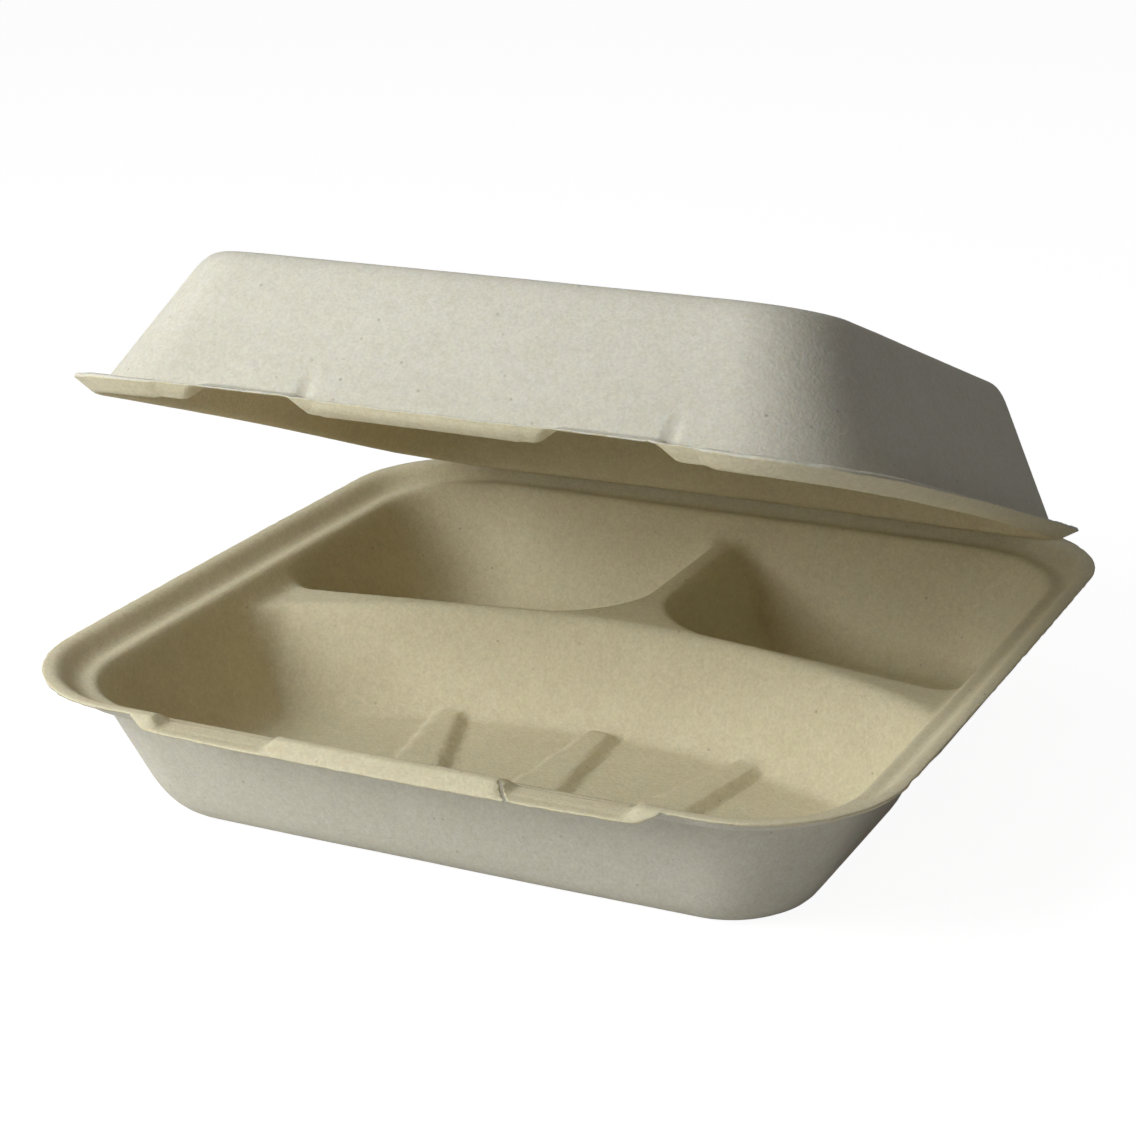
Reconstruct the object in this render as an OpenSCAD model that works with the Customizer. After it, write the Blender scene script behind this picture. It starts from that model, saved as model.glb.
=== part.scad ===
// Three-compartment take-away box of moulded plant fibre, with its lid part open.
// Tray and lid are pressed as one sheet that folds along the back of the rim.
// Origin: the middle of the underside. +X runs along the fold, +Y towards it, +Z up.

/* [Tray] */
// Width of the rim, along the fold
rim_w = 229; // [205:1:250]
// Depth of the rim from front to back, without the front lip
rim_d = 222; // [205:1:245]
// Height of the rim above the table
rim_h = 40; // [34:1:52]
// Corner radius of the rim
rim_r = 36; // [31:1:42]
// Corner radius at the floor
floor_r = 20; // [14:1:26]
// How far each side bows out past its corners
side_bow = 1; // [0:0.25:2]
// Thickness of the fibre sheet
sheet = 1; // [0.8:0.1:1.4]
// Slope of the walls, degrees from upright
draft = 23; // [16:1:27]
// Radius where the walls meet the floor, inside
floor_fillet = 8; // [5:0.5:10]

/* [Rim] */
// Width of the flat crest of the rim
crest = 3.4; // [2.5:0.1:4.5]
// Width of the slope that the lid sits in
seat_run = 6; // [5:0.25:7]
// Drop of that slope
seat_drop = 4.8; // [4.2:0.1:5.4]
// Width of the ledge under the slope
ledge = 2.8; // [2:0.1:4]

/* [Compartments] */
// Drop from the rim to the top of the dividers
land_drop = 11.5; // [10:0.5:15]
// Farthest back that the long divider's front edge reaches
divider_y = 19; // [10:1:26]
// How much nearer the front its ends lie
divider_sag = 28; // [15:1:32]
// Width of the long divider's top in the middle
divider_w = 7.5; // [6.5:0.5:11]
// Slant of the back pockets' front sides
pocket_slant = 0.17; // [0.1:0.01:0.2]
// Width of the short divider's top
short_divider_w = 8; // [6:0.5:12]
// Rounding over the dividers' edges
edge_round = 1.6; // [0.8:0.1:2]
// Corner radius of the pockets beside the two dividers' join
join_r = 20; // [12:1:26]
// Corner radius where the dividers meet the outer walls
wall_join_r = 16; // [10:1:20]

/* [Floor ribs] */
// Places of the three ribs along the width, at their back ends
rib_x = [-44, 1, 46];
// Share of its distance from the middle that a rib has lost at its front end
rib_fan = 0.4; // [0:0.05:0.5]
// Height of a rib
rib_h = 2.4; // [1.4:0.2:3.2]
// Width of a rib at its back end
rib_w = 8; // [5:0.5:10]
// How much wider it grows per millimetre of its length
rib_spread = 0.18; // [0.05:0.01:0.2]
// Where the ribs start, from front to back
rib_back = 2; // [-5:1:4]
// Length of a rib
rib_len = 66; // [40:1:72]

/* [Front lip] */
// Half the length of the lip along the front
lip_half = 70.5; // [68:0.5:74]
// How far the lip stands out at its ends
lip_reach = 2.6; // [2:0.2:5]
// How much farther it stands out in the middle
lip_bulge = 1.2; // [0:0.2:2]
// Run of the lip's slanted ends
lip_end = 6; // [4:0.5:10]
// How far the lip slopes down over its reach
lip_droop = 2.4; // [1.5:0.1:3]

/* [Locks] */
// Distance of each lock's middle from the middle of the front
lock_x = 47; // [44:0.5:49]
// Length of a lock's dip in the tray's rim
dip_len = 28; // [24:1:33]
// Depth of the dip
dip_drop = 2.5; // [1.5:0.1:2.8]
// Run of each of the dip's slanted ends
dip_end = 4; // [2:0.5:5]
// Length of the gap in the lid's bead
gap_len = 25; // [20:1:28]
// Run of each of the gap's slanted ends
gap_end = 6; // [4:0.5:7]
// Height of the flat flap that bridges the gap, over the lid's edge
flap_rise = 1; // [0.6:0.1:1.6]
// Length of the slit behind the lid's lock
slit_len = 10; // [6:1:12]
// Width of a slit
slit_w = 0.8; // [0.6:0.1:1.2]
// Radius of the dimple beside each lock
dimple_r = 2.8; // [2:0.2:3.4]
// Depth of that dimple
dimple_deep = 0.6; // [0.3:0.1:0.7]

/* [Lid] */
// Distance of the lid's edge inside the tray's rim
lid_gap = 5.5; // [5.4:0.1:6.2]
// Height of the lid's edge below the top of the tray's rim
lid_sink = 1.2; // [0.8:0.1:1.4]
// Corner radius of the lid's edge
lid_r = 32; // [28:1:36]
// Width of the slope under the lid's edge
bead_run = 4.6; // [4:0.1:5]
// Drop of that slope
bead_drop = 3.5; // [3:0.1:3.6]
// Width of the bead's flat bottom
bead_flat = 1.4; // [1:0.1:2]
// Height of the lid's flat top over its edge
lid_h = 36.2; // [28:0.2:48]
// Slope of the lid's side walls, degrees from upright
lid_draft = 26; // [16:1:30]
// Corner radius of the lid's top
lid_top_r = 20; // [14:1:26]
// Radius of the lid's top edge, outside
lid_round = 6; // [4:0.5:8]
// Margin from the lid's top edge to the raised panel
panel_margin = 13; // [9:1:18]
// Height of the raised panel
panel_h = 1.4; // [0.8:0.1:2]
// Run of the raised panel's edge
panel_edge = 3; // [2:0.5:5]

/* [Fold] */
// Length of the fold along the back
fold_len = 168; // [140:1:176]
// Clearance between the closed lid's flap and the rim's crest
fold_clear = 0.3; // [0.2:0.05:0.4]
// Distance of the fold line behind the rim
fold_back = 0.5; // [0.4:0.1:0.8]
// Lid opening from closed, degrees
lid_open = 21; // [0:0.5:90]

/* [Hidden] */
fibre = "#c6c1ac";
// Points around a full corner circle
arc_n = 48;
// Overlap that keeps cuts clean
bite = 0.5;
// Offset that keeps two walls from lying in one plane
clean = 0.1;
half_w = rim_w / 2;
half_d = rim_d / 2;
land_z = rim_h - land_drop;
ledge_z = rim_h - seat_drop - 0.4;
ledge_inset = crest + seat_run + ledge;
// The sheet's thickness measured level, through a sloping wall
wall_level = sheet / cos(draft);
floor_inset = ledge_inset + (ledge_z - sheet) * tan(draft);
lid_edge_z = rim_h - lid_sink;
lid_wall_inset = lid_gap + bead_run + bead_flat;
lid_wall_level = sheet / cos(lid_draft);
fold_y = half_d + fold_back;
fold_z = rim_h + fold_clear / 2;

// Inset of the tray's inner wall from the rim's outline at height z
function wall_inset(z) = ledge_inset + (ledge_z - z) * tan(draft);
// Corner radius of the tray at an inset from the rim's outline
function corner_at(inset) = rim_r - (rim_r - floor_r) * inset / floor_inset;
// Half the width of the tray at depth y, and half its depth at width x
function side_x(y, inset) = half_w - inset - side_bow * pow(y / half_d, 2);
function side_y(x, inset) = half_d - inset - side_bow * pow(x / half_w, 2);

// An outline is a list of [x, y, radius], and it is the hull of those circles.
// The whole outline of the tray or the lid at an inset, with corner radius r
function box_outline(inset, r) =
    let (x = side_x(half_d - inset - r, inset) - r, y = side_y(half_w - inset - r, inset) - r)
    concat(
        [for (i = [-1, 1], j = [-1, 1]) [i * x, j * y, r]],
        [for (i = [-1, 1], t = [-0.4, 0, 0.4]) [i * side_x(t * half_d, inset), t * half_d, 0]],
        [for (j = [-1, 1], t = [-0.4, 0, 0.4]) [t * half_w, j * side_y(t * half_w, inset), 0]]);

// Circles of an outline as points at height z
function ring(outline, z) =
    [for (c = outline, a = [0 : 360 / arc_n : 359])
        [c[0] + c[2] * cos(a), c[1] + c[2] * sin(a), z]];

// Insets and heights of a fillet over a floor, from the floor up to the wall
function fillet(r, slope, steps) =
    [for (i = [0 : steps])
        let (a = i / steps * (90 - slope))
        [r * (1 - sin(slope)) / cos(slope) - r * sin(a), r * (1 - cos(a))]];

// Solid between two rings
module frustum(low, high) {
    points = concat(low, high);
    hull() polyhedron(points = points, faces = [[for (i = [0 : len(points) - 1]) i]]);
}

// Solid through a list of rings
module loft(rings) {
    for (i = [0 : len(rings) - 2]) frustum(rings[i], rings[i + 1]);
}

// Ring of the tray or lid at an inset and height
function box_ring(inset, z) = ring(box_outline(inset, corner_at(inset)), z);

// Front compartment at height z; grow widens it all round, flare at the divider alone
function front_outline(z, grow, flare) =
    let (inset = wall_inset(z) - grow,
         r = corner_at(inset),
         back = max(0, land_z - z) * tan(draft) - grow - flare,
         rb = wall_join_r,
         x = side_x(half_d - inset - r, inset) - r,
         y = side_y(half_w - inset - r, inset) - r,
         span = side_x(0, wall_inset(land_z)),
         xb = side_x(0, inset) - rb)
    concat(
        [for (i = [-1, 1]) [i * x, -y, r]],
        [for (i = [-1, 1]) [i * xb, divider_at(xb / span) - back - rb, rb]],
        [for (i = [-1, 1]) [i * side_x(0.4 * half_d, inset), -0.4 * half_d, 0]],
        [for (t = [-0.4, 0, 0.4]) [t * half_w, -side_y(t * half_w, inset), 0]],
        [for (t = [-0.6 : 0.2 : 0.61]) [t * xb, divider_at(t * xb / span) - back, 0]]);

// Front edge of the long divider, for x as a share of the half width
function divider_at(share) = divider_y - divider_sag * share * share;

// Back pocket on the right at height z; it is mirrored for the left one
function pocket_outline(z, grow, flare) =
    let (inset = wall_inset(z) - grow,
         r = corner_at(inset),
         in = max(0, land_z - z) * tan(draft) - grow - flare,
         x0 = short_divider_w / 2 + in,
         x1 = side_x(0.4 * half_d, inset),
         y0 = divider_y + divider_w + in,
         stretch = sqrt(1 + pocket_slant * pocket_slant),
         rj = join_r,
         rw = wall_join_r,
         x = side_x(half_d - inset - r, inset) - r,
         y = side_y(half_w - inset - r, inset) - r,
         y_in = side_y(x0, inset))
    [[x, y, r],
     [x0 + rw, y_in - rw, rw],
     [x0 + rj, y0 - pocket_slant * (x0 + rj) + rj * stretch, rj],
     [x1 - rw, y0 - pocket_slant * (x1 - rw) + rw * stretch, rw],
     [0.4 * half_w, side_y(0.4 * half_w, inset), 0]];

// Space inside the front compartment or a pocket, chosen by kind
function cell_outline(kind, z, grow, flare) =
    kind == "front" ? front_outline(z, grow, flare) : pocket_outline(z, grow, flare);

// Inside of a compartment, open above the dividers
module cell_space(kind) {
    rise = fillet(floor_fillet, draft, 4);
    floor_z = sheet;
    low = [for (p = rise) ring(cell_outline(kind, floor_z, -p[0], 0), floor_z + p[1])];
    wall_z = floor_z + rise[4][1];
    high = [
        ring(cell_outline(kind, land_z - edge_round, 0, 0), land_z - edge_round),
        ring(cell_outline(kind, land_z, 0, 0.35 * edge_round), land_z - 0.35 * edge_round),
        ring(cell_outline(kind, land_z, 0, edge_round), land_z + 0.02),
        ring(cell_outline(kind, land_z, 0, edge_round), land_z + bite)];
    loft(concat(low, high));
}

// Outside of a compartment, under the dividers
module cell_body(kind) {
    rise = fillet(floor_fillet + sheet, draft, 4);
    low = [for (p = rise) ring(cell_outline(kind, sheet, wall_level - p[0] - sheet * tan(draft), 0), p[1])];
    loft(concat(low, [ring(cell_outline(kind, land_z - sheet / 2, wall_level, 0), land_z - sheet / 2)]));
}

// Rim, seat and upper wall as a filled block
module rim_body() {
    loft([
        box_ring(wall_inset(land_z - sheet) - wall_level - clean, land_z - sheet),
        box_ring(ledge_inset - wall_level - clean, ledge_z - sheet),
        box_ring(crest + seat_run - 0.3, rim_h - seat_drop - sheet),
        box_ring(crest - 0.3, rim_h - sheet)]);
    loft([
        box_ring(0, rim_h - sheet),
        box_ring(0, rim_h - 0.45),
        box_ring(0.7, rim_h)]);
}

// Space over the dividers, up to the rim
module rim_space() {
    loft([
        box_ring(wall_inset(land_z) - clean, land_z),
        box_ring(ledge_inset, ledge_z),
        box_ring(crest + seat_run, rim_h - seat_drop),
        box_ring(crest + 0.6, rim_h - 0.4),
        box_ring(crest, rim_h),
        box_ring(crest, rim_h + 1)]);
}

// Raised wedge in the front compartment's floor; drop lowers it for the hollow underneath
module rib(x, drop) {
    front = rib_back - rib_len;
    shift = -rib_fan * x;
    wide = rib_w + rib_spread * rib_len;
    back_z = sheet + 0.75 * rib_h - drop;
    points = concat(
        [for (i = [-1, 1]) [x + i * (rib_w / 2 - drop), rib_back - drop, back_z]],
        [for (i = [-1, 1]) [x + shift + i * (wide / 2 - drop), front + drop, sheet + rib_h - drop]],
        [for (i = [-1, 1]) [x + i * (rib_w / 2 + 0.5 - drop), rib_back + 1 - drop, -bite * drop]],
        [for (i = [-1, 1]) [x + shift + i * (wide / 2 + 1.2 - drop), front - 1.2 + drop, -bite * drop]]);
    hull() polyhedron(points = points, faces = [[for (i = [0 : len(points) - 1]) i]]);
}

// Reach of the front lip and depth of its dips, for x from the middle outwards
function lip_out(x) =
    x < lip_half - lip_end
        ? lip_reach + lip_bulge * (1 - pow(x / (lip_half - lip_end), 2))
        : max(0.2, lip_reach * (lip_half - x) / lip_end);
function dip_at(x) = dip_drop * max(0, min(1, 1 - (abs(x - lock_x) - dip_len / 2) / dip_end));

// Inner edge of the dips, where their level meets the seat's slope
dip_inner = -half_d + crest + 0.6 + (dip_drop - 0.4) * (seat_run - 0.6) / (seat_drop - 0.4);

// Places along the front where the lip's edge or its dips change
dip_from = lock_x - dip_len / 2;
dip_to = lock_x + dip_len / 2;
shoulder = lip_half - lip_end;
lip_places = [
    0, dip_from / 3, dip_from * 2 / 3, dip_from - dip_end, dip_from, lock_x,
    min(shoulder, dip_to), max(shoulder, dip_to), dip_to + dip_end, lip_half];

// Slice of the lip's sheet outside the rim at x, and of the sheet in a dip
function lip_slice(x) =
    let (z = rim_h - dip_at(x), y = -half_d - lip_out(x), low = rim_h - lip_droop * min(1, lip_out(x) / lip_reach))
    [[x, -half_d + 1.6, z - 0.05], [x, y + 0.4, low], [x, y, low - 0.4],
     [x, y, low - sheet], [x, -half_d + 1.6, z - sheet - 0.1]];
function dip_slice(x) =
    let (z = rim_h - dip_at(x))
    [[x, dip_inner + 0.6, z], [x, -half_d + 1, z], [x, -half_d + 1, z - sheet], [x, dip_inner + 0.6, z - sheet]];

// Front lip with its two dips
module front_lip() {
    for (m = [0, 1], i = [0 : len(lip_places) - 2])
        mirror([m, 0, 0]) {
            frustum(lip_slice(lip_places[i]), lip_slice(lip_places[i + 1]));
            if (dip_at(lip_places[i]) + dip_at(lip_places[i + 1]) > 0)
                frustum(dip_slice(lip_places[i]), dip_slice(lip_places[i + 1]));
        }
}

// Space cleared over the two dips
module dip_space() {
    for (i = [-1, 1])
        translate([i * lock_x, dip_inner, rim_h])
            rotate([90, 0, 0])
                linear_extrude(20)
                    polygon([
                        [clean - dip_len / 2 - dip_end, -clean], [-dip_len / 2, -dip_drop - clean],
                        [dip_len / 2, -dip_drop - clean], [dip_len / 2 + dip_end - clean, -clean],
                        [dip_len / 2 + dip_end - clean, 4], [clean - dip_len / 2 - dip_end, 4]]);
}

// Tray with its three compartments, rim and front lip
module tray() {
    color(fibre)
        difference() {
            union() {
                difference() {
                    rim_body();
                    dip_space();
                }
                front_lip();
                cell_body("front");
                cell_body("pocket");
                mirror([1, 0, 0]) cell_body("pocket");
            }
            rim_space();
            difference() {
                cell_space("front");
                for (x = rib_x) rib(x, 0);
            }
            cell_space("pocket");
            mirror([1, 0, 0]) cell_space("pocket");
            for (x = rib_x) rib(x, sheet);
        }
}

// Ring of the closed lid at a distance inside its own edge, z over that edge
function lid_ring(inset, z, r) = ring(box_outline(lid_gap + inset, r), lid_edge_z + z);

// Inset of the lid's inner wall and its corner radius at height z over the edge
function lid_wall(z) = lid_wall_inset - lid_gap + (z + bead_drop) * tan(lid_draft);
function lid_corner(z) = lid_r - (lid_r - lid_top_r) * (z + bead_drop) / (lid_h + bead_drop);

// Rings of the lid's shell; out is 1 for the outside and 0 for the inside
function lid_shell(out) =
    let (top = lid_h - (1 - out) * sheet,
         r = lid_round - (1 - out) * sheet,
         edge = fillet(r, lid_draft, 4),
         grow = out * lid_wall_level,
         base = lid_wall(top) - grow)
    concat(
        [lid_ring(lid_wall(-bead_drop) - grow, -bead_drop - (1 - out) * 0.01, lid_corner(-bead_drop))],
        [for (i = [4 : -1 : 0])
            lid_ring(base + edge[i][0], top - edge[i][1], lid_corner(top))]);

// Turned-down bead round the lid's edge, as a sheet
module lid_bead() {
    difference() {
        loft([
            lid_ring(bead_run, -bead_drop, lid_r - bead_run / 2),
            lid_ring(0, 0, lid_r),
            lid_ring(0, sheet * 0.8, lid_r)]);
        loft([
            lid_ring(bead_run + 0.4, sheet - bead_drop, lid_r - bead_run / 2),
            lid_ring(0.3, sheet * 0.8, lid_r),
            lid_ring(0.3, 4, lid_r)]);
    }
}

// Gap that a lock leaves in the lid's bead
module lock_gap(x) {
    translate([x, -half_d + lid_gap + bead_run + bead_flat + 4, lid_edge_z])
        rotate([90, 0, 0])
            linear_extrude(24)
                polygon([
                    [-gap_len / 2 - gap_end, -bead_drop - 0.5], [-gap_len / 2, flap_rise + 0.1],
                    [gap_len / 2, flap_rise + 0.1], [gap_len / 2 + gap_end, -bead_drop - 0.5]]);
}

// Flat flap over each gap, with its slit
module lock_flap(x) {
    y0 = -side_y(lock_x, lid_gap);
    difference() {
        translate([x - gap_len / 2 - gap_end / 2, y0, lid_edge_z + flap_rise])
            cube([gap_len + gap_end, bead_run + bead_flat + 1.5, sheet]);
        translate([x - 2, y0 + bead_run / 2, lid_edge_z])
            rotate([0, 0, 6])
                cube([slit_len, slit_w, sheet + 2]);
    }
}

// Raised panel on the lid's top
module lid_panel(out) {
    top = lid_h - (1 - out) * sheet;
    m = lid_wall(lid_h) - lid_wall_level + panel_margin;
    r = lid_top_r - panel_margin / 2;
    loft([
        lid_ring(m + (1 - out) * 0.4, top - 0.2, r),
        lid_ring(m + panel_edge + (1 - out) * 0.4, top + panel_h, r)]);
}

// Flap from the lid's back edge to the fold, with a root that joins it to the bead
module fold_flap() {
    inner = half_d - lid_gap - bead_run;
    edge = half_d - lid_gap;
    low = rim_h + fold_clear;
    translate([-fold_len / 2, 0, 0])
        rotate([90, 0, 90])
            linear_extrude(fold_len)
                polygon([
                    [inner, lid_edge_z + 0.1], [edge + 1.5, low], [half_d + fold_back / 2, low],
                    [half_d + fold_back / 2, low + sheet], [edge + 1, low + sheet], [inner, lid_edge_z + sheet]]);
    // The root stays clear of the rim's corners
    translate([28 - rim_w / 2 + lid_r / 2, 0, 0])
        rotate([90, 0, 90])
            linear_extrude(rim_w - 56 - lid_r)
                polygon([
                    [inner + 1, lid_edge_z + 0.6], [edge, lid_edge_z + 0.3],
                    [edge + 0.8, low + 0.3], [inner + 2, lid_edge_z + 0.9]]);
}

// Lid in its closed place
module closed_lid() {
    difference() {
        union() {
            difference() {
                union() {
                    lid_bead();
                    loft(lid_shell(1));
                }
                for (i = [-1, 1]) lock_gap(i * lock_x);
            }
            for (i = [-1, 1]) lock_flap(i * lock_x);
            lid_panel(1);
            fold_flap();
        }
        loft(lid_shell(0));
        lid_panel(0);
        for (i = [-1, 1])
            translate([i * lock_x + gap_len / 2 + 1,
                       -half_d + lid_gap + lid_wall(1) - lid_wall_level - dimple_r + dimple_deep,
                       lid_edge_z + sheet + dimple_r * 0.6])
                sphere(dimple_r, $fn = 24);
    }
}

// Lid, opened about the fold line
module lid() {
    color(fibre)
        translate([0, fold_y, fold_z])
            rotate([-lid_open, 0, 0])
                translate([0, -fold_y, -fold_z])
                    closed_lid();
}

tray();
lid();
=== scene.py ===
"""Looks of a part-open clamshell take-away box, pressed from one sheet of plant fibre.

The box is made as a pulp press makes it: a flat mat of fibre is laid out along the
rim's outline, then every point of it is pressed to the height of the mould.
All sizes here are in millimetres until a piece is finished, and in metres after that.
"""

import logging
import math
from collections.abc import Callable, Iterable
from dataclasses import dataclass, field
from enum import Enum

import bmesh
import bpy
from mathutils import Matrix, Vector, noise

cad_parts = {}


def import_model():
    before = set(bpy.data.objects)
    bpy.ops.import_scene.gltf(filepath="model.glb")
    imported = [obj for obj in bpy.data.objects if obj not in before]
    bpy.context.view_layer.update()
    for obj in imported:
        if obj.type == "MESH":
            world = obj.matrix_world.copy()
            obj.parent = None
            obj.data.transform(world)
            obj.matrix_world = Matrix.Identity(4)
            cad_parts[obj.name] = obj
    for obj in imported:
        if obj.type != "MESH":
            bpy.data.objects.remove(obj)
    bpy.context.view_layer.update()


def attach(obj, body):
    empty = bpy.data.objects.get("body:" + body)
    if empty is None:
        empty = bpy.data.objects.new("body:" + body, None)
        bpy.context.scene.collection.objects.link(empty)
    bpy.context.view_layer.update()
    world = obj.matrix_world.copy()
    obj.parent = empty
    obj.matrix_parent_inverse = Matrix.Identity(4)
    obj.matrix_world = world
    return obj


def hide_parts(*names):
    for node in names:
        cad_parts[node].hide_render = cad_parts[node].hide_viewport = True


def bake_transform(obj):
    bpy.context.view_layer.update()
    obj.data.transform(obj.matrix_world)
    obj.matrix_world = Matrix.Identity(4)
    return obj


LOG = logging.getLogger("box")
MM = 0.001
PHOTO_SIDE = 1136


def linear(colour: str) -> tuple[float, float, float, float]:
    """Turns an sRGB hex colour into Blender's linear values.

    Args:
        colour: the colour as "#rrggbb".

    Returns:
        Red, green, blue and an alpha of 1.
    """
    parts = [int(colour[i : i + 2], 16) / 255 for i in (1, 3, 5)]
    r, g, b = [c / 12.92 if c <= 0.04045 else ((c + 0.055) / 1.055) ** 2.4 for c in parts]
    return r, g, b, 1.0


def clamp(value: float, low: float = 0.0, high: float = 1.0) -> float:
    """Keeps a value between two limits."""
    return max(low, min(high, value))


def ease(value: float) -> float:
    """Turns 0 to 1 into a soft step."""
    t = clamp(value)
    return t * t * (3 - 2 * t)


def soft_max(a: float, b: float, blend: float) -> float:
    """Takes the higher of two surfaces, with a fillet where they cross.

    Args:
        a: height of one surface.
        b: height of the other.
        blend: height difference over which they flow together.

    Returns:
        The height of the joined surface.
    """
    if blend <= 0.001:
        return max(a, b)
    h = max(blend - abs(a - b), 0.0) / blend
    return max(a, b) + h * h * blend / 4


def round_corner(a: float, b: float, radius: float) -> float:
    """Joins two distances to walls into the distance to their rounded corner.

    Args:
        a: distance to one wall.
        b: distance to the other.
        radius: corner radius between them.

    Returns:
        The distance to the nearest of the walls or the corner.
    """
    if a >= radius or b >= radius:
        return min(a, b)
    return radius - math.hypot(radius - a, radius - b)


@dataclass(frozen=True)
class Profile:
    """Section of a pressed sheet: straight runs joined by soft bends.

    Each bend is (place, slope after it, half its run).
    """

    start: float
    slope: float
    bends: tuple[tuple[float, float, float], ...]

    def height(self, place: float) -> float:
        """Gives the sheet's height at a distance along the section."""
        z = self.start + self.slope * place
        slope = self.slope
        for at, after, half in self.bends:
            t = place - at
            if t > -half:
                run = (t + half) ** 2 / (4 * half) if t < half else t
                z += (after - slope) * run
            slope = after
        return z


@dataclass(frozen=True)
class Outline:
    """Rounded rectangle whose corner radius falls as it is inset."""

    half_w: float
    half_d: float
    radius: float
    taper: float

    def inset_at(self, x: float, y: float) -> float:
        """Gives the inset of the outline that runs through a point.

        Args:
            x: place along the fold.
            y: place from front to back.

        Returns:
            The inset in millimetres, below 0 outside the outline.
        """
        a = self.radius - (self.half_w - abs(x))
        b = self.radius - (self.half_d - abs(y))
        k = self.taper
        c = 1 - k
        straight = self.radius - max(a, b)
        if a + c * straight <= 0 or b + c * straight <= 0:
            return straight
        qa = 2 * c * c - k * k
        qb = c * (a + b) + self.radius * k
        qc = a * a + b * b - self.radius**2
        if abs(qa) < 1e-9:
            return -qc / (2 * qb)
        root = math.sqrt(max(qb * qb - qa * qc, 0.0))
        return (root - qb) / qa

    def corner(self, inset: float) -> float:
        """Gives the corner radius at an inset."""
        return max(self.radius - self.taper * inset, 0.0)


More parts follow.
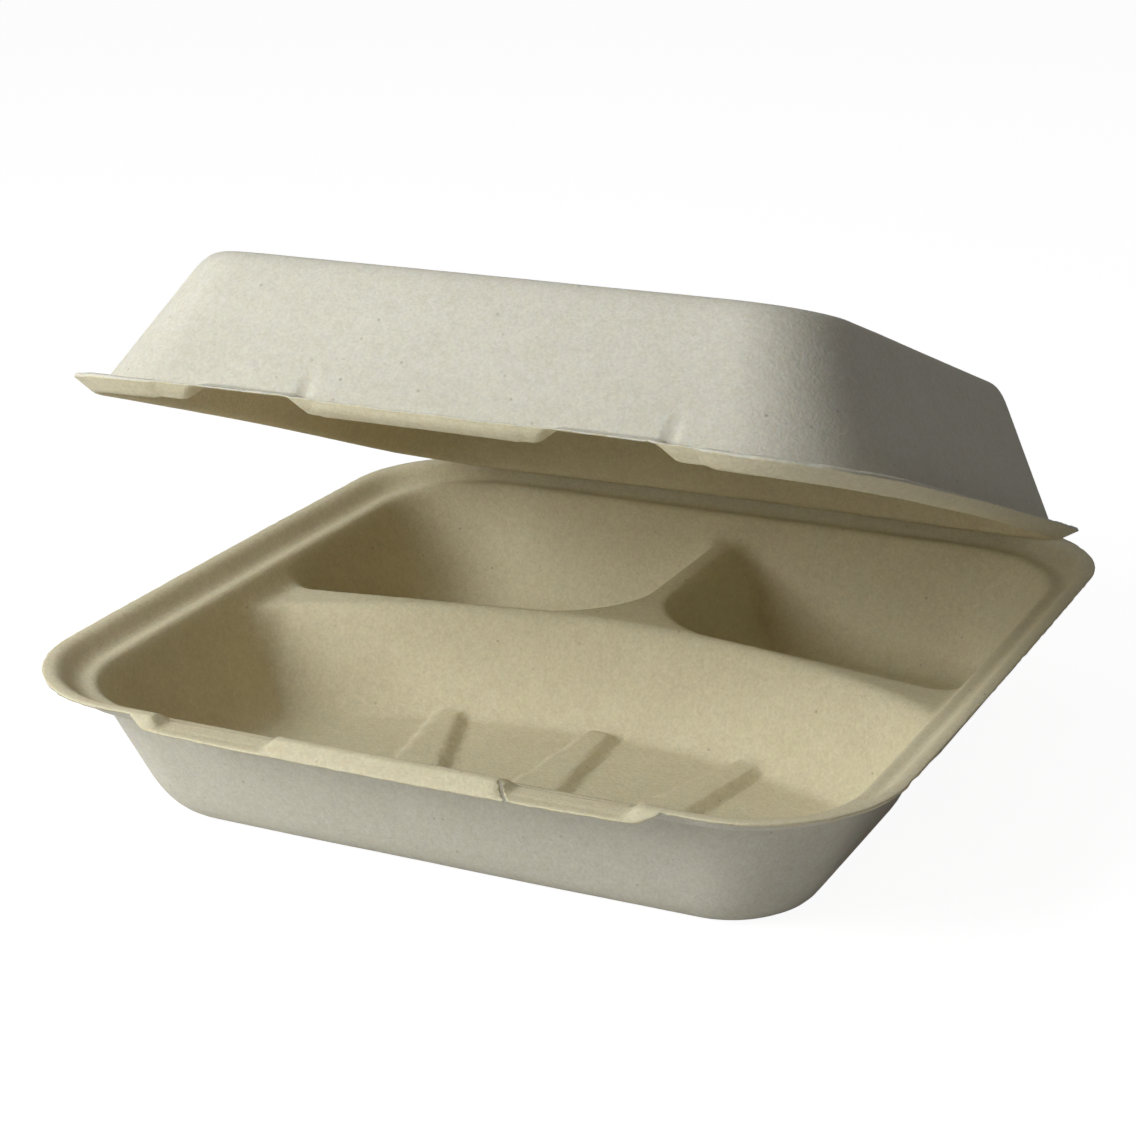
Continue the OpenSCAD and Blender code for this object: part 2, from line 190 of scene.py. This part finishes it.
@dataclass
class PressedSheet:
    """A mat of fibre laid out along an outline and pressed to a mould's heights."""

    outline: Outline
    insets: list[float]
    rings: int
    bow: float = 1.0
    thickness: float = 1.0
    waves: tuple[tuple[float, float], ...] = ((0.10, 34.0), (0.035, 7.0))

    def ring_sizes(self, ring: int) -> tuple[float, float, float]:
        """Gives a ring's half width, half depth and corner radius."""
        last = len(self.insets) - 1
        o = self.insets[min(ring, last)]
        w, d, r = self.outline.half_w - o, self.outline.half_d - o, self.outline.corner(o)
        if ring > last:
            left = 1 - (ring - last) / (self.rings - last)
            w, d, r = w * left, d * left, r * left
        return w, d, r

    @staticmethod
    def along(share: float, straight_half: float, side: float, radius: float) -> tuple[float, float]:
        """Walks from the middle of a side to the middle of its corner's arc.

        Args:
            share: how far, from 0 to 1.
            straight_half: half the side's length, corners included.
            side: distance of the side from the centre.
            radius: corner radius.

        Returns:
            The distance from the centre across the side, and the place along it.
        """
        straight = straight_half - radius
        total = straight + radius * math.pi / 4
        s = share * total
        if s <= straight or radius <= 0:
            return side, s
        a = (s - straight) / radius
        return side - radius + radius * math.cos(a), straight + radius * math.sin(a)

    def mat(self) -> bmesh.types.BMesh:
        """Lays a grid out so that its rings follow the outline.

        Returns:
            The flat mesh.
        """
        bm = bmesh.new()
        n = 2 * self.rings
        bmesh.ops.create_grid(bm, x_segments=n, y_segments=n, size=1.0)
        for v in bm.verts:
            i = v.co.x * self.rings
            j = v.co.y * self.rings
            reach = max(abs(i), abs(j))
            if reach < 0.5:
                v.co = Vector((0, 0, 0))
                continue
            w, d, r = self.ring_sizes(self.rings - round(reach))
            if abs(i) >= abs(j):
                x, y = self.along(abs(j) / reach, d, w, r)
            else:
                y, x = self.along(abs(i) / reach, w, d, r)
            v.co = Vector((math.copysign(x, i), math.copysign(y, j), 0))
        return bm

    def bowed(self, x: float, y: float) -> tuple[float, float]:
        """Draws the corners in a little, which leaves the sides bowed out."""
        w, d = self.outline.half_w, self.outline.half_d
        return x * (1 - self.bow / w * (y / d) ** 2), y * (1 - self.bow / d * (x / w) ** 2)

    def height(self, x: float, y: float) -> float:
        """Gives the mould's height under a point of the mat."""
        raise NotImplementedError

    def press(self, bm: bmesh.types.BMesh) -> None:
        """Presses the mat to the mould, with the slight unevenness of wet fibre."""
        for v in bm.verts:
            x, y = v.co.x, v.co.y
            z = self.height(x, y)
            spot = Vector((x, y, z))
            z += sum(depth * noise.noise(spot / size) for depth, size in self.waves)
            bx, by = self.bowed(x, y)
            v.co = Vector((bx, by, z))

    @staticmethod
    def refine(bm: bmesh.types.BMesh, inside: Callable[[Vector], bool]) -> None:
        """Halves the edges of a region for finer detail there.

        Args:
            bm: the mat.
            inside: tells whether a point lies in the region.
        """
        edges = [e for e in bm.edges if inside(e.verts[0].co) and inside(e.verts[1].co)]
        bmesh.ops.subdivide_edges(bm, edges=edges, cuts=1, use_grid_fill=True)

    @staticmethod
    def remember(bm: bmesh.types.BMesh, edges: Iterable[bmesh.types.BMEdge]) -> bmesh.types.BMLayerItem:
        """Notes where the points of an edge lie, for what is drawn out of it.

        Args:
            bm: the sheet.
            edges: the edges.

        Returns:
            The layer that holds each point's place.
        """
        home = bm.verts.layers.float_vector.new("home")
        for v in {v for e in edges for v in e.verts}:
            v[home] = v.co
        return home

    @staticmethod
    def ragged_edge(bm: bmesh.types.BMesh, amount: float) -> None:
        """Makes the trimmed edge a little uneven."""
        for v in bm.verts:
            if v.is_boundary:
                v.co.x += amount * noise.noise(v.co / 2.3)
                v.co.y += amount * noise.noise(v.co / 2.3 + Vector((7, 0, 0)))
                v.co.z += amount * noise.noise(v.co / 3.1 + Vector((0, 9, 0)))

    @staticmethod
    def slit(bm: bmesh.types.BMesh, centre: Vector, length: float, width: float, turn: float) -> None:
        """Cuts a slit through the sheet.

        Args:
            bm: the pressed sheet, before it has a thickness.
            centre: middle of the slit.
            length: its length.
            width: its width.
            turn: its angle from the fold's direction, in degrees.
        """
        a = math.radians(turn)
        along = Vector((math.cos(a), math.sin(a), 0))
        across = Vector((-along.y, along.x, 0))
        near = [f for f in bm.faces if (f.calc_center_median() - centre).length < length]
        for normal, half in ((along, length / 2), (across, width / 2)):
            for side in (-1, 1):
                near = [f for f in near if f.is_valid]
                geom = set(near)
                for f in near:
                    geom.update(f.edges)
                    geom.update(f.verts)
                cut = bmesh.ops.bisect_plane(
                    bm,
                    geom=list(geom),
                    dist=1e-5,
                    plane_co=centre + normal * half * side,
                    plane_no=normal,
                )
                near = [g for g in cut["geom"] if isinstance(g, bmesh.types.BMFace)]
        hole = []
        for f in near:
            p = f.calc_center_median() - centre
            if abs(p.dot(along)) < length / 2 and abs(p.dot(across)) < width / 2 and abs(p.z) < 4:
                hole.append(f)
        bmesh.ops.delete(bm, geom=hole, context="FACES")

    def finish(self, bm: bmesh.types.BMesh, name: str, place: Matrix) -> bpy.types.Object:
        """Turns the pressed sheet into a finished piece with a thickness.

        Args:
            bm: the sheet, in millimetres.
            name: name of the piece.
            place: its place in the frame, in millimetres.

        Returns:
            The new object.
        """
        bmesh.ops.recalc_face_normals(bm, faces=bm.faces)
        if sum(f.normal.z for f in bm.faces) < 0:
            bmesh.ops.reverse_faces(bm, faces=bm.faces)
        bmesh.ops.transform(bm, matrix=Matrix.Scale(MM, 4) @ place, verts=bm.verts)
        for f in bm.faces:
            f.smooth = True
        mesh = bpy.data.meshes.new(name)
        bm.to_mesh(mesh)
        bm.free()
        piece = bpy.data.objects.new(name, mesh)
        bpy.context.scene.collection.objects.link(piece)
        wall = piece.modifiers.new("sheet thickness", "SOLIDIFY")
        wall.thickness = self.thickness * MM
        wall.offset = -1
        wall.use_even_offset = True
        wall.thickness_clamp = 1.2
        wall.material_offset = 1
        return piece


@dataclass
class Locks:
    """The two locks along the front, shared by the tray's lip and the lid."""

    middle: float = 47.0
    dip_half: float = 14.0
    dip_end: float = 4.0
    dip_drop: float = 2.5
    gap_half: float = 12.5
    gap_end: float = 6.0

    def dip(self, x: float) -> float:
        """Gives the depth of the dips in the tray's rim at x."""
        away = abs(abs(x) - self.middle) - self.dip_half
        return self.dip_drop * ease(1 - away / self.dip_end)

    def gap(self, x: float) -> float:
        """Gives 1 in the gaps of the lid's bead, 0 clear of them, and a soft step between."""
        away = abs(abs(x) - self.middle) - self.gap_half
        return ease(1 - away / self.gap_end)


@dataclass
class Tray(PressedSheet):
    """The tray with its three compartments, rim and front lip."""

    outline: Outline = field(default_factory=lambda: Outline(114.5, 111.0, 36.0, 0.6))
    insets: list[float] = field(
        default_factory=lambda: [0, 0.3, 0.8, 1.5, 2.3, 3.0, 3.5, 4.0, 4.8, 5.8]
        + [6.8, 7.8, 8.6, 9.2, 9.8, 10.6, 11.4, 12.0, 12.6, 13.3, 14.2]
        + [15.3 + 1.25 * i for i in range(14)]
    )
    rings: int = 88
    rim_h: float = 40.0
    land: float = 28.5
    floor: float = 1.0
    wall_slope: float = 2.356
    land_inset: float = 14.87
    half_span: float = 99.6
    divider_y: float = 19.0
    divider_sag: float = 28.0
    divider_w: float = 7.5
    pocket_slant: float = 0.17
    short_w: float = 8.0
    join_r: float = 22.0
    wall_join_r: float = 9.0
    divider_fillet: float = 6.0
    fillet_reach: float = 9.0
    rib_places: tuple[float, ...] = (-44.0, 1.0, 46.0)
    rib_h: float = 2.2
    rib_back: float = 2.0
    rib_run: float = 68.0
    rib_half: float = 4.0
    rib_flare: float = 0.09
    rib_lean: float = 0.006
    rib_left_step: float = 0.45
    rib_right_step: float = 1.0
    lip_half: float = 70.5
    lip_end: float = 6.0
    lip_reach: float = 2.6
    lip_bulge: float = 1.2
    lip_droop: float = 2.4
    lip_roll: float = 0.3
    locks: Locks = field(default_factory=Locks)

    def __post_init__(self) -> None:
        """Works out the sections from the sizes."""
        down = -self.wall_slope
        crest = (0.35, 0.0, 0.35)
        seat = (3.4, -1.3, 1.7)
        ledge = (7.1, -0.02, 1.5)
        brink = (12.1, down, 1.5)
        self.upper = Profile(self.rim_h - 0.2, 0.6, (crest, seat, ledge, brink))
        run = (self.land - self.floor) / self.wall_slope
        self.cell = Profile(self.land, 0.0, ((0.0, down, 2.2), (run, 0.0, 4.6)))

    def divider_distance(self, x: float, y: float) -> tuple[float, float]:
        """Gives the distances from the dividers into the front compartment and into a pocket."""
        curve = self.divider_y - self.divider_sag * (x / self.half_span) ** 2
        lean = -2 * self.divider_sag * x / self.half_span**2
        front = (curve - y) / math.hypot(1, lean)
        slanted = self.divider_y + self.divider_w - self.pocket_slant * abs(x)
        long_side = (y - slanted) / math.hypot(1, self.pocket_slant)
        pocket = round_corner(long_side, abs(x) - self.short_w / 2, self.join_r)
        return front, pocket

    def rib(self, x: float, y: float) -> float:
        """Gives the height of the raised wedges in the front compartment's floor."""
        best = 0.0
        forward = self.rib_back - y
        for place in self.rib_places:
            middle = place * (1 - self.rib_lean * forward)
            half = self.rib_half + self.rib_flare * max(forward, 0)
            step = self.rib_left_step if x < middle else self.rib_right_step
            edge = half - abs(x - middle)
            best = max(best, self.rib_h * ease(edge / (2 * step) + 0.5))
        front_end = ease((self.rib_run - forward) / 3)
        back_end = ease((forward + 3) / 2)
        return best * front_end * back_end

    def height(self, x: float, y: float) -> float:
        """Gives the tray's top surface over a point of the mat."""
        o = self.outline.inset_at(x, y)
        upper = self.upper.height(o)
        from_wall = o - self.land_inset
        front, pocket = self.divider_distance(x, y)
        into = max(
            round_corner(from_wall, front, self.wall_join_r),
            round_corner(from_wall, pocket, self.wall_join_r),
        )
        fillet = self.divider_fillet * ease(1 - max(front, pocket) / self.fillet_reach)
        z = soft_max(upper, self.cell.height(into), fillet)
        near_floor = z < self.floor + 6
        if front > 0 and near_floor:
            z = soft_max(z, self.floor + self.rib(x, y), 0.5)
        on_rim = o < 8
        if y < 0 and on_rim:
            z = min(z, self.rim_h - self.locks.dip(x) - 0.1 * max(0.0, 1 - o))
        return z

    def reach(self, x: float) -> float:
        """Gives how far the front lip stands out at x."""
        flat = self.lip_half - self.lip_end
        if abs(x) < flat:
            return self.lip_reach + self.lip_bulge * (1 - (x / flat) ** 2)
        return self.lip_reach * clamp((self.lip_half - abs(x)) / self.lip_end)

    def front_lip(self, bm: bmesh.types.BMesh, steps: int = 6) -> None:
        """Draws the lip out of the rim's front edge.

        Args:
            bm: the pressed tray.
            steps: rows of faces across the lip.
        """
        edge = [
            e
            for e in bm.edges
            if e.is_boundary and all(v.co.y < -100 and abs(v.co.x) < self.lip_half for v in e.verts)
        ]
        home = self.remember(bm, edge)
        for step in range(1, steps + 1):
            out = bmesh.ops.extrude_edge_only(bm, edges=edge)
            edge = [g for g in out["geom"] if isinstance(g, bmesh.types.BMEdge)]
            for v in {v for e in edge for v in e.verts}:
                p = v[home]
                share = step / steps
                reach = self.reach(p.x)
                low = self.rim_h - self.lip_droop * min(1.0, reach / self.lip_reach)
                z = p.z + (low - p.z) * share - self.lip_roll * share**6
                v.co = Vector((p.x, p.y - reach * share, z))
        bmesh.ops.remove_doubles(bm, verts=bm.verts, dist=0.01)

    def build(self) -> bpy.types.Object:
        """Builds the tray.

        Returns:
            The finished tray.
        """
        bm = self.mat()
        self.press(bm)
        self.front_lip(bm)
        self.ragged_edge(bm, 0.16)
        self.slit(bm, centre=Vector((31.5, -112.0, 38.6)), length=6.0, width=0.7, turn=-52)
        return self.finish(bm, "fibre_tray", Matrix.Identity(4))


@dataclass
class Lid(PressedSheet):
    """The lid with its bead, two lock flaps and the flap that reaches the fold."""

    outline: Outline = field(default_factory=lambda: Outline(109.0, 105.5, 32.0, 0.49))
    insets: list[float] = field(
        default_factory=lambda: [0, 0.3, 0.9, 1.7, 2.6, 3.4, 4.0, 4.5, 4.9, 5.3, 5.8, 6.5, 7.4]
        + [8.6 + 1.3 * i for i in range(10)]
        + [20.9, 21.7, 22.5, 23.3, 24.1, 24.9, 25.7, 26.6, 27.8]
        + [29.6, 31.8, 34, 35.8, 36.8, 37.8, 38.8, 39.8, 40.8, 42]
    )
    rings: int = 66
    edge_z: float = 38.8
    top: float = 36.2
    bead_slope: float = 0.71
    bead_run: float = 4.9
    wall_slope: float = 2.05
    panel_inset: float = 37.3
    panel_slope: float = 0.45
    flap_top: float = 2.0
    flap_slope: float = 0.17
    flap_run: float = 6.0
    bead_low: float = 2.6
    dimple_offset: float = 13.5
    dimple_inset: float = 8.0
    dimple_depth: float = 2.2
    dimple_r: float = 3.0
    fold_y: float = 111.5
    fold_z: float = 40.15
    fold_half: float = 84.0
    notch_r: float = 3.5
    opened: float = 21.0
    locks: Locks = field(default_factory=Locks)

    def __post_init__(self) -> None:
        """Works out the section from the sizes."""
        foot_z = self.thickness - self.bead_slope * self.bead_run
        shoulder_inset = self.bead_run + (self.top - foot_z) / self.wall_slope
        foot = (self.bead_run, self.wall_slope, 0.7)
        shoulder = (shoulder_inset, 0.0, 2.7)
        panel = (self.panel_inset, self.panel_slope, 1.0)
        panel_top = (self.panel_inset + 3, 0.0, 1.2)
        self.section = Profile(self.thickness, -self.bead_slope, (foot, shoulder, panel, panel_top))

    def height(self, x: float, y: float) -> float:
        """Gives the closed lid's top surface, over its own edge."""
        o = self.outline.inset_at(x, y)
        z = self.section.height(o)
        if y < -60:
            gap = self.locks.gap(x)
            if gap > 0:
                flap = self.flap_top - self.flap_slope * max(0.0, self.flap_run - o)
                z = soft_max(z, -self.bead_low + gap * (flap + self.bead_low), 0.8)
            for side in (-1, 1):
                from_dimple = x - side * self.locks.middle - self.dimple_offset
                away = math.hypot(from_dimple, (o - self.dimple_inset) * 1.1)
                z -= self.dimple_depth * ease(1 - away / self.dimple_r)
        return z

    def fold_flap(self, bm: bmesh.types.BMesh) -> None:
        """Draws the flap out of the lid's back edge, up to the fold."""
        notch = self.notch_r
        root_half = self.fold_half + notch
        edge = [
            e
            for e in bm.edges
            if e.is_boundary and all(v.co.y > 90 and abs(v.co.x) < root_half for v in e.verts)
        ]
        base_half = max(abs(v.co.x) for e in edge for v in e.verts)
        home = self.remember(bm, edge)
        share_and_rise = ((0.2, 0.6), (0.4, 1.1), (0.62, 1.45), (0.8, 1.5), (1.0, 1.5))
        for share, rise in share_and_rise:
            out = bmesh.ops.extrude_edge_only(bm, edges=edge)
            edge = [g for g in out["geom"] if isinstance(g, bmesh.types.BMEdge)]
            t = min(share * 6.0, notch)
            half = self.fold_half + notch - math.sqrt(max(notch**2 - (notch - t) ** 2, 0))
            for v in {v for e in edge for v in e.verts}:
                p = v[home]
                y = p.y + (self.fold_y - 0.35 - p.y) * share
                v.co = Vector((p.x * half / base_half, y, self.thickness + rise))

    def place(self) -> Matrix:
        """Gives the opened lid's place in the frame, from its own closed one."""
        closed = Matrix.Translation((0, -self.fold_y, self.edge_z - self.fold_z))
        turn = Matrix.Rotation(math.radians(-self.opened), 4, "X")
        return Matrix.Translation((0, self.fold_y, self.fold_z)) @ turn @ closed

    def build(self) -> bpy.types.Object:
        """Builds the lid.

        Returns:
            The finished lid, opened.
        """
        bm = self.mat()
        self.refine(bm, lambda p: p.y < -88 and abs(abs(p.x) - self.locks.middle - 2) < 23)
        self.press(bm)
        self.fold_flap(bm)
        self.ragged_edge(bm, 0.2)
        for side in (-1, 1):
            centre = Vector((side * self.locks.middle + 5.5, -102.4, self.flap_top))
            self.slit(bm, centre, length=10.0, width=0.7, turn=7)
        return self.finish(bm, "fibre_lid", self.place())


@dataclass
class Fold:
    """The soft fold that joins the lid's flap to the tray's rim."""

    half: float = 83.8
    y: float = 111.3
    z: float = 40.15
    bend: float = 0.62
    tray_tail: float = 1.4
    lid_tail: float = 1.2
    thickness: float = 0.75
    opened: float = 21.0

    def build(self) -> bpy.types.Object:
        """Builds the fold's strip.

        Returns:
            The finished strip.
        """
        bm = bmesh.new()
        start_y, start_z = self.y - self.tray_tail, self.z - self.bend
        ends = [bm.verts.new((side * self.half, start_y, start_z)) for side in (-1, 1)]
        line = bm.edges.new(ends)
        bmesh.ops.subdivide_edges(bm, edges=[line], cuts=60)
        edges = list(bm.edges)
        out = bmesh.ops.extrude_edge_only(bm, edges=edges)
        verts = [g for g in out["geom"] if isinstance(g, bmesh.types.BMVert)]
        bmesh.ops.translate(bm, verts=verts, vec=(0, self.tray_tail, 0))
        edges = [g for g in out["geom"] if isinstance(g, bmesh.types.BMEdge)]
        turned = bmesh.ops.spin(
            bm,
            geom=verts + edges,
            cent=(0, self.y, self.z),
            axis=(1, 0, 0),
            angle=math.radians(180 - self.opened),
            steps=10,
            use_duplicate=False,
        )
        last = [g for g in turned["geom_last"] if isinstance(g, bmesh.types.BMEdge)]
        out = bmesh.ops.extrude_edge_only(bm, edges=last)
        verts = [g for g in out["geom"] if isinstance(g, bmesh.types.BMVert)]
        a = math.radians(self.opened)
        tail = Vector((0, -self.lid_tail * math.cos(a), self.lid_tail * math.sin(a)))
        bmesh.ops.translate(bm, verts=verts, vec=tail)
        bmesh.ops.recalc_face_normals(bm, faces=bm.faces)
        bmesh.ops.transform(bm, matrix=Matrix.Scale(MM, 4), verts=bm.verts)
        for f in bm.faces:
            f.smooth = True
        mesh = bpy.data.meshes.new("fold_web")
        bm.to_mesh(mesh)
        bm.free()
        piece = bpy.data.objects.new("fold_web", mesh)
        bpy.context.scene.collection.objects.link(piece)
        wall = piece.modifiers.new("sheet thickness", "SOLIDIFY")
        wall.thickness = self.thickness * MM
        wall.offset = 0
        return piece


@dataclass(frozen=True)
class FibreFinish:
    """Unbleached plant fibre (bagasse), hot-pressed between a felt and a mesh.

    It is matt and slightly warm, with a mottled tone and small dark flecks of pith;
    pressing leaves a fine orange-peel surface. Single fibres are some 0.02 mm thick and
    too fine to show, so the grain is drawn as coarse as it needs to be seen.
    """

    name: str
    pale: str
    warm: str
    fleck: str = "#8c8067"
    roughness: float = 0.9
    glow: float = 0.25
    glow_mm: float = 1.5
    ior: float = 1.45
    cloud_mm: float = 14.0
    cloud_share: float = 0.35
    mottle_mm: float = 2.2
    grain_mm: float = 0.8
    peel_mm: float = 1.0
    peel_depth_mm: float = 0.16
    fleck_mm: float = 4.2

    def node(
        self,
        tree: bpy.types.NodeTree,
        kind: str,
        links: dict[str, object],
        **settings: object,
    ) -> bpy.types.Node:
        """Adds a node with its settings and links.

        Args:
            tree: the material's node tree.
            kind: the node's type.
            links: input name to a value or to another node's output.
            settings: the node's own settings.

        Returns:
            The new node.
        """
        new = tree.nodes.new(kind)
        for key, value in settings.items():
            setattr(new, key, value)
        for key, value in links.items():
            socket = new.inputs[int(key)] if key.isdigit() else new.inputs[key]
            if isinstance(value, bpy.types.NodeSocket):
                tree.links.new(value, socket)
            else:
                socket.default_value = value
        return new

    def material(self) -> bpy.types.Material:
        """Builds the material.

        Returns:
            The new material.
        """
        mat = bpy.data.materials.new(self.name)
        mat.use_nodes = True
        tree = mat.node_tree
        tree.nodes.clear()
        at = self.node(tree, "ShaderNodeTexCoord", {}).outputs["Object"]

        size_detail_roughness = (
            (self.cloud_mm, 3.0, 0.5),
            (self.mottle_mm, 4.0, 0.75),
            (self.grain_mm, 2.0, 0.6),
            (self.peel_mm, 2.0, 0.5),
        )
        cloud, mottle, grain, peel = [
            self.node(
                tree,
                "ShaderNodeTexNoise",
                {"Vector": at, "Scale": 1 / (size_mm * MM), "Detail": detail, "Roughness": rough},
            ).outputs["Fac"]
            for size_mm, detail, rough in size_detail_roughness
        ]
        fine = self.node(
            tree, "ShaderNodeMath", {"0": mottle, "1": grain}, operation="ADD"
        ).outputs[0]
        tone = self.node(
            tree,
            "ShaderNodeMath",
            {"0": cloud, "1": self.cloud_share, "2": fine},
            operation="MULTIPLY_ADD",
        ).outputs[0]
        spread = self.node(
            tree, "ShaderNodeMapRange", {"Value": tone, "From Min": 0.9, "From Max": 1.45}
        ).outputs["Result"]
        base = self.node(
            tree,
            "ShaderNodeMix",
            {"0": spread, "6": linear(self.warm), "7": linear(self.pale)},
            data_type="RGBA",
        ).outputs[2]
        cells = self.node(
            tree,
            "ShaderNodeTexVoronoi",
            {"Vector": at, "Scale": 1 / (self.fleck_mm * MM), "Randomness": 1.0},
        ).outputs
        # Half of the cells carry a fleck of pith, each of another strength.
        value_and_ranges = (
            (cells["Distance"], (0.04, 0.13), (1.0, 0.0)),
            (cells["Color"], (0.5, 1.0), (0.0, 0.75)),
        )
        dots, some = [
            self.node(
                tree,
                "ShaderNodeMapRange",
                {
                    "Value": value,
                    "From Min": start[0],
                    "From Max": start[1],
                    "To Min": end[0],
                    "To Max": end[1],
                },
            ).outputs["Result"]
            for value, start, end in value_and_ranges
        ]
        faint = self.node(
            tree, "ShaderNodeMath", {"0": dots, "1": some}, operation="MULTIPLY"
        ).outputs[0]
        colour = self.node(
            tree,
            "ShaderNodeMix",
            {"0": faint, "6": base, "7": linear(self.fleck)},
            data_type="RGBA",
        ).outputs[2]
        relief = self.node(
            tree, "ShaderNodeMath", {"0": grain, "1": peel}, operation="ADD"
        ).outputs[0]
        bump = self.node(
            tree,
            "ShaderNodeBump",
            {"Height": relief, "Strength": 0.6, "Distance": self.peel_depth_mm * MM},
        ).outputs["Normal"]
        shader = self.node(
            tree,
            "ShaderNodeBsdfPrincipled",
            {
                "Base Color": colour,
                "Roughness": self.roughness,
                "IOR": self.ior,
                "Normal": bump,
                "Subsurface Weight": self.glow,
                "Subsurface Radius": (1.0, 0.62, 0.3),
                "Subsurface Scale": self.glow_mm * MM,
            },
        )
        self.node(tree, "ShaderNodeOutputMaterial", {"Surface": shader.outputs["BSDF"]})
        return mat


class Backdrop(Enum):
    """Tones of the studio round the box."""

    FLOOR = "#dddcda"
    SKY = "#ffffff"


@dataclass
class Studio:
    """Floor, lamps and camera."""

    key_power: float = 7.1
    top_power: float = 3.0
    sky_level: float = 0.13
    floor_glow: float = 0.75
    lamp_colour: str = "#f8fbff"

    def floor(self) -> bpy.types.Object:
        """Lays the plain pale floor."""
        bm = bmesh.new()
        bmesh.ops.create_grid(bm, x_segments=1, y_segments=1, size=6.0)
        mesh = bpy.data.meshes.new("floor")
        bm.to_mesh(mesh)
        bm.free()
        floor = bpy.data.objects.new("floor", mesh)
        floor.location.z = -0.0002
        bpy.context.scene.collection.objects.link(floor)
        mat = bpy.data.materials.new("studio_floor")
        mat.use_nodes = True
        tree = mat.node_tree
        shader = tree.nodes["Principled BSDF"]
        shader.inputs["Base Color"].default_value = linear(Backdrop.FLOOR.value)
        shader.inputs["Roughness"].default_value = 0.95
        rays = tree.nodes.new("ShaderNodeLightPath")
        share = tree.nodes.new("ShaderNodeMath")
        share.operation = "MULTIPLY"
        share.inputs[1].default_value = self.floor_glow
        glow = tree.nodes.new("ShaderNodeEmission")
        glow.inputs["Color"].default_value = linear(Backdrop.SKY.value)
        glow.inputs["Strength"].default_value = 1.25
        mix = tree.nodes.new("ShaderNodeMixShader")
        tree.links.new(rays.outputs["Is Camera Ray"], share.inputs[0])
        tree.links.new(share.outputs[0], mix.inputs[0])
        tree.links.new(shader.outputs[0], mix.inputs[1])
        tree.links.new(glow.outputs[0], mix.inputs[2])
        tree.links.new(mix.outputs[0], tree.nodes["Material Output"].inputs["Surface"])
        mesh.materials.append(mat)
        return floor

    def lamp(self, name: str, place: tuple[float, float, float], size: float, power: float) -> None:
        """Hangs a soft square lamp that faces the box.

        Args:
            name: name of the lamp.
            place: where it hangs, in metres.
            size: its side, in metres.
            power: its power in watts.
        """
        data = bpy.data.lights.new(name, "AREA")
        data.shape = "SQUARE"
        data.size = size
        data.energy = power
        data.color = linear(self.lamp_colour)[:3]
        lamp = bpy.data.objects.new(name, data)
        lamp.location = place
        lamp.rotation_euler = (Vector((0, 0, 0.05)) - Vector(place)).to_track_quat("-Z", "Y").to_euler()
        bpy.context.scene.collection.objects.link(lamp)

    def sky(self) -> None:
        """Sets an even white surround, which the camera sees as plain white."""
        world = bpy.data.worlds.new("studio")
        world.use_nodes = True
        tree = world.node_tree
        tree.nodes.clear()
        rays = tree.nodes.new("ShaderNodeLightPath")
        seen = tree.nodes.new("ShaderNodeBackground")
        seen.inputs["Color"].default_value = linear(Backdrop.SKY.value)
        lit = tree.nodes.new("ShaderNodeBackground")
        lit.inputs["Color"].default_value = linear(Backdrop.SKY.value)
        lit.inputs["Strength"].default_value = self.sky_level
        mix = tree.nodes.new("ShaderNodeMixShader")
        out = tree.nodes.new("ShaderNodeOutputWorld")
        tree.links.new(rays.outputs["Is Camera Ray"], mix.inputs[0])
        tree.links.new(lit.outputs[0], mix.inputs[1])
        tree.links.new(seen.outputs[0], mix.inputs[2])
        tree.links.new(mix.outputs[0], out.inputs[0])
        bpy.context.scene.world = world

    def camera(self) -> None:
        """Sets the camera at the photograph's viewing angle."""
        azimuth, elevation, roll = map(math.radians, (26.23, 19.40, -0.88))
        place = Matrix.Translation((0.2867, -0.5951, 0.2835))
        level = math.cos(elevation)
        back = Vector((math.sin(azimuth) * level, -math.cos(azimuth) * level, math.sin(elevation)))
        focal_px = 2665.3
        data = bpy.data.cameras.new("camera")
        data.sensor_width = 36
        data.lens = focal_px / PHOTO_SIDE * data.sensor_width
        data.clip_end = 50
        camera = bpy.data.objects.new("camera", data)
        turn = back.to_track_quat("Z", "Y").to_matrix().to_4x4()
        camera.matrix_world = place @ turn @ Matrix.Rotation(roll, 4, "Z")
        bpy.context.scene.collection.objects.link(camera)
        bpy.context.scene.camera = camera

    def build(self) -> None:
        """Sets up the whole studio."""
        self.floor()
        self.lamp("key", (-0.46, -0.64, 0.50), 0.5, self.key_power)
        self.lamp("top", (-0.5, 0.3, 1.6), 1.2, self.top_power)
        self.sky()
        self.camera()
        bpy.context.scene.view_settings.view_transform = "Standard"


# Two copies of one fibre finish. The inner face is the shaded copy: its warmer, more olive tones are
# painted warm bounce light and shade of the box's inside, not a colour the sheet has under any lamp.
OUTER_FACE = FibreFinish("moulded_plant_fibre_outer_face", "#dedac9", "#cfcab7")
INNER_FACE_PAINTED_SHADE = FibreFinish("moulded_plant_fibre_inner_face_painted_shade", "#e3dabb", "#d3c9a8")


def dress(piece: bpy.types.Object, drawn: bpy.types.Material, behind: bpy.types.Material) -> None:
    """Gives a sheet its two faces.

    Args:
        piece: the sheet.
        drawn: finish of the face that was modelled.
        behind: finish of the face that its thickness adds.
    """
    piece.data.materials.append(drawn)
    piece.data.materials.append(behind)


def main() -> None:
    """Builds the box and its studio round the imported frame."""
    logging.basicConfig(level=logging.INFO)
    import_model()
    tray = Tray().build()
    LOG.info("tray: %d vertices", len(tray.data.vertices))
    lid = Lid().build()
    LOG.info("lid: %d vertices", len(lid.data.vertices))
    fold = Fold().build()
    LOG.info("fold: %d vertices", len(fold.data.vertices))
    # The inner material carries painted warm shade; it goes on the faces that look into the box.
    outer, inner_painted_shade = OUTER_FACE.material(), INNER_FACE_PAINTED_SHADE.material()
    dress(tray, inner_painted_shade, outer)
    dress(lid, outer, inner_painted_shade)
    dress(fold, inner_painted_shade, outer)
    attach(tray, "tray")
    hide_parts("tray")
    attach(lid, "lid")
    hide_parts("lid")
    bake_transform(fold)
    Studio().build()


if __name__ == "__main__":
    main()
